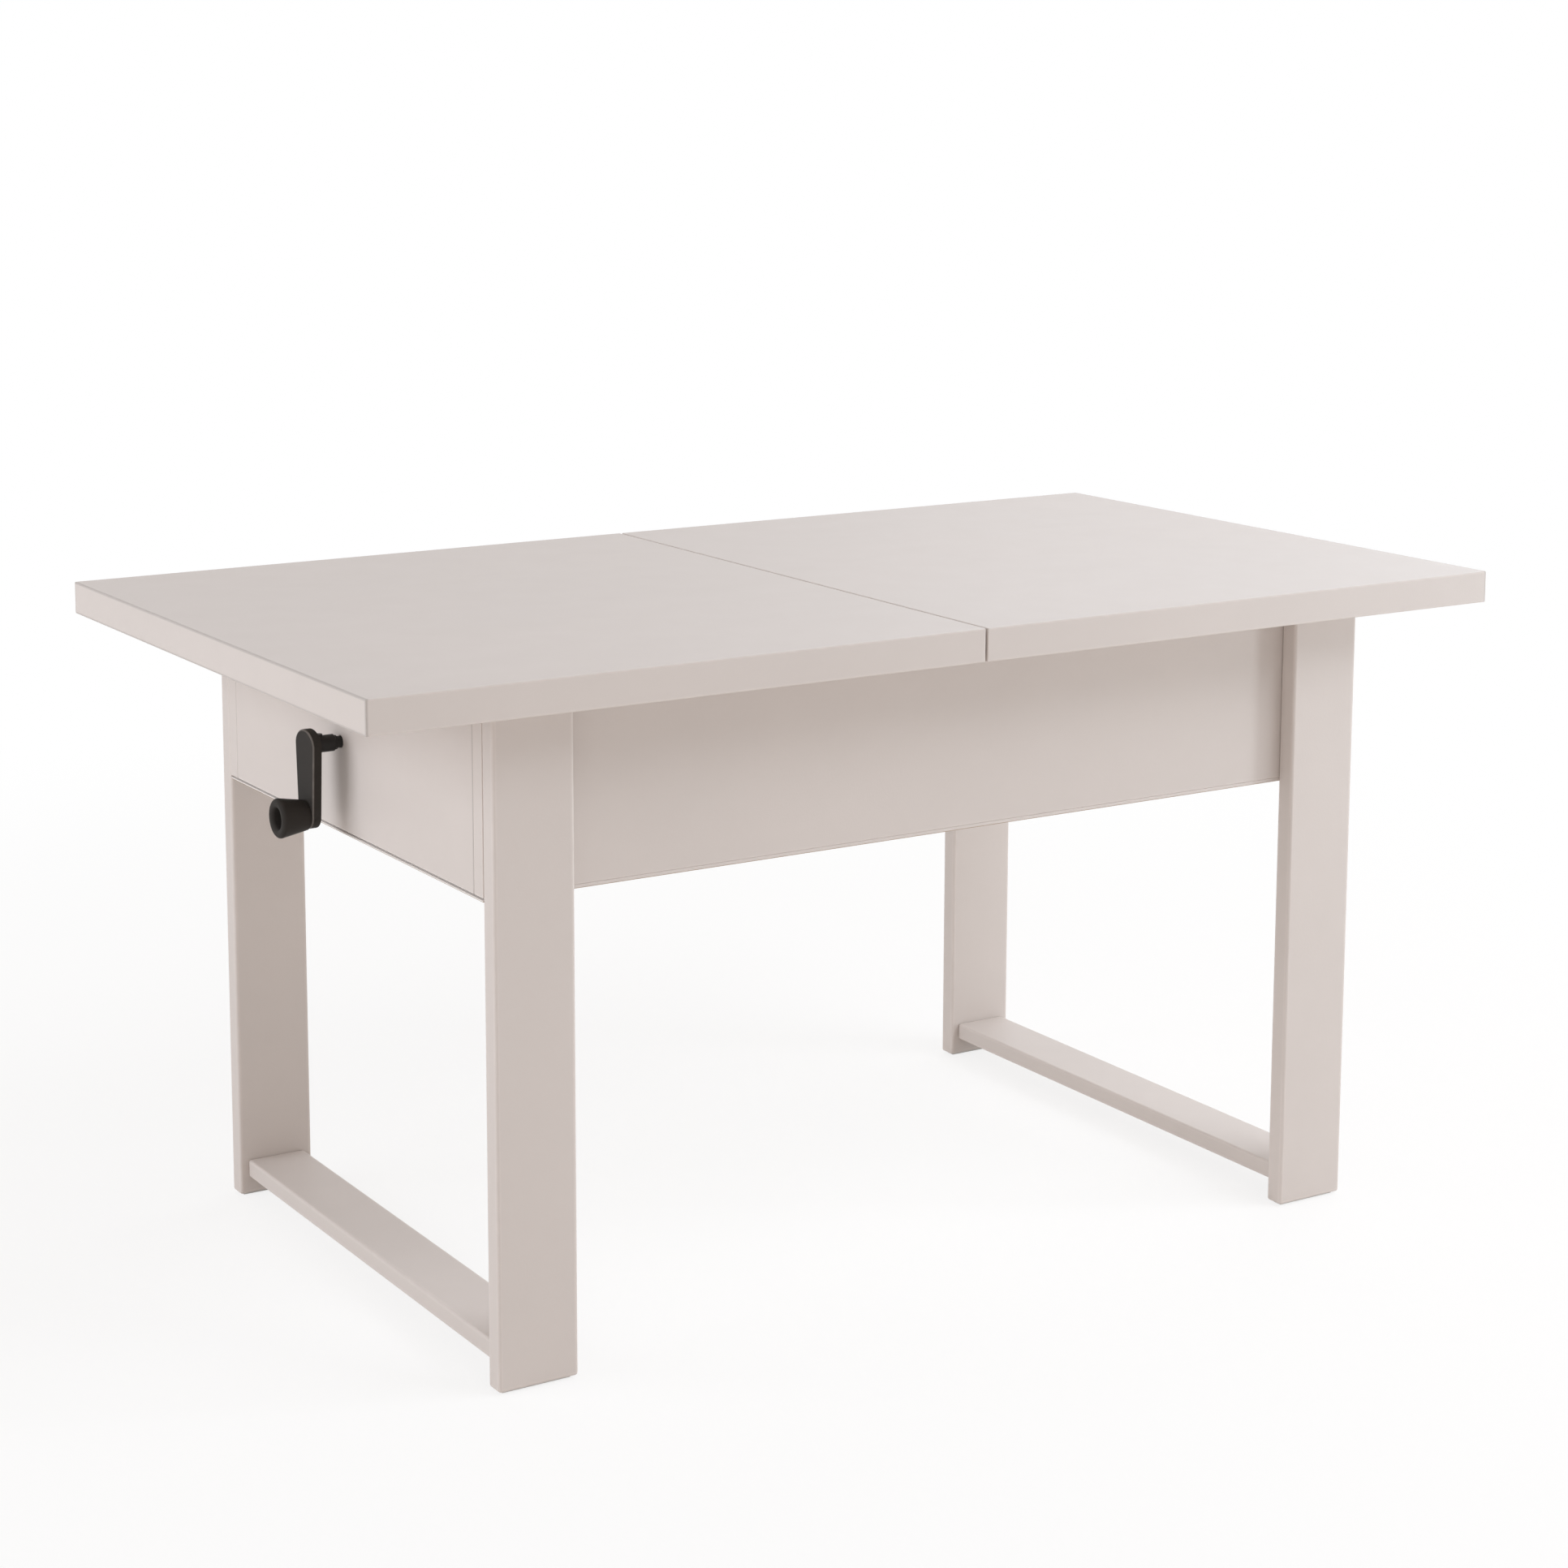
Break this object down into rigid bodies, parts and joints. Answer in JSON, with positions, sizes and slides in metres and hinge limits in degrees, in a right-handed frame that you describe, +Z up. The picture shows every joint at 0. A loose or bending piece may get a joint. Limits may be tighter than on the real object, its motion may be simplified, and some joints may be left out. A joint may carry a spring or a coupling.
{
  "type": "convertible coffee dining table",
  "caption": "Coffee table that becomes a dining table: a crank in the end panel raises the top on a scissor lift, and the split top slides apart on rails to take a stowed leaf.",
  "frame": {"origin": "on the floor, below the middle of the table top", "axes": "+X along the table away from the crank end, +Y to the rear, +Z up"},
  "size_m": [1.1, 0.6, 0.57],
  "materials": {
    "frame_board": "satin lacquered board, warm greige",
    "top_board": "satin lacquered board, warm greige",
    "bottom_sheet": "pale lacquered hardboard",
    "glide_plastic": "moulded",
    "zinc_fastening": "zinc plated",
    "brass_insert": "turned",
    "dowel_wood": "bare beech",
    "lift_steel": "dark grey powder coat",
    "arm_steel": "black powder coat",
    "bright_steel": "ground",
    "gear_steel": "cut, lightly greased",
    "nylon": "moulded nylon",
    "bronze_bush": "sintered",
    "runner_aluminium": "extruded",
    "crank_plastic": "satin black",
    "crank_steel": "blackened steel"
  },
  "bodies": {
    "base": {"leg_front_left": "frame_board", "leg_front_right": "frame_board", "leg_rear_left": "frame_board", "leg_rear_right": "frame_board", "stretcher_left": "frame_board", "stretcher_right": "frame_board", "side_panel_front": "frame_board", "side_panel_rear": "frame_board", "end_panel_left": "frame_board", "end_panel_right": "frame_board", "bottom_sheet": "bottom_sheet", "foot_glides": "glide_plastic", "leg_bolts": "zinc_fastening", "leg_inserts": "brass_insert", "stretcher_dowels": "dowel_wood", "panel_dowels": "dowel_wood", "corner_brackets": "zinc_fastening", "base_channel_front": "lift_steel", "base_channel_rear": "lift_steel", "channel_screws": "zinc_fastening", "base_pivot_blocks": "nylon", "gear_frame": "lift_steel", "gear_frame_screws": "zinc_fastening", "worm_bushes": "bronze_bush"},
    "drive_arms": {"torque_shaft": "bright_steel", "drive_arm_front": "arm_steel", "drive_arm_rear": "arm_steel", "sector_gear": "gear_steel", "centre_pins": "bright_steel", "upper_glides": "nylon"},
    "follower_arms": {"follower_arm_front": "arm_steel", "follower_arm_rear": "arm_steel", "lower_glides": "nylon", "upper_pins": "bright_steel", "follower_spreader": "arm_steel"},
    "lift_frame": {"lift_channel_front": "lift_steel", "lift_channel_rear": "lift_steel", "lift_pivot_blocks": "nylon", "slide_rail_front": "lift_steel", "slide_rail_rear": "lift_steel", "frame_bar_left": "lift_steel", "frame_bar_right": "lift_steel", "leaf_bearer_front": "lift_steel", "leaf_bearer_rear": "lift_steel", "leaf": "top_board"},
    "worm": {"worm": "gear_steel"},
    "crank": {"crank_arm": "crank_plastic", "crank_spindle": "crank_steel", "knob_axle": "bright_steel"},
    "knob": {"knob": "crank_plastic"},
    "top_left": {"top_panel_left": "top_board", "runner_left_front": "runner_aluminium", "runner_left_rear": "runner_aluminium", "runner_screws_left": "zinc_fastening"},
    "top_right": {"top_panel_right": "top_board", "runner_right_front": "runner_aluminium", "runner_right_rear": "runner_aluminium", "runner_screws_right": "zinc_fastening", "seam_pins": "dowel_wood"}
  },
  "joints": [
    {"name": "lift", "type": "hinge", "parent": "base", "child": "drive_arms", "pos_m": [-0.3, 0, 0.41], "axis": [0, -1, 0], "range_deg": [0, 19.56]},
    {"name": "scissor_cross", "type": "hinge", "parent": "drive_arms", "child": "follower_arms", "pos_m": [-0.0235, 0, 0.4545], "axis": [0, -1, 0], "range_deg": [-39.13, 0]},
    {"name": "scissor_top", "type": "hinge", "parent": "follower_arms", "child": "lift_frame", "pos_m": [-0.3, 0, 0.499], "axis": [0, -1, 0], "range_deg": [0, 19.57]},
    {"name": "worm_turn", "type": "hinge", "parent": "base", "child": "worm", "pos_m": [-0.3, 0.01, 0.4675], "axis": [1, 0, 0], "range_deg": [0, 1565]},
    {"name": "crank_pull", "type": "slide", "parent": "worm", "child": "crank", "axis": [-1, 0, 0], "range_m": [0, 0.06]},
    {"name": "knob_spin", "type": "hinge", "parent": "crank", "child": "knob", "pos_m": [-0.4745, 0.01, 0.4095], "axis": [1, 0, 0], "continuous": true},
    {"name": "slide_left", "type": "slide", "parent": "lift_frame", "child": "top_left", "axis": [-1, 0, 0], "range_m": [0, 0.175]},
    {"name": "slide_right", "type": "slide", "parent": "lift_frame", "child": "top_right", "axis": [1, 0, 0], "range_m": [0, 0.175]}
  ],
  "couplings": [
    {"joint": "scissor_cross", "follows": "lift", "ratio": -2},
    {"joint": "scissor_top", "follows": "lift", "ratio": 1},
    {"joint": "worm_turn", "follows": "lift", "ratio": 80}
  ]
}
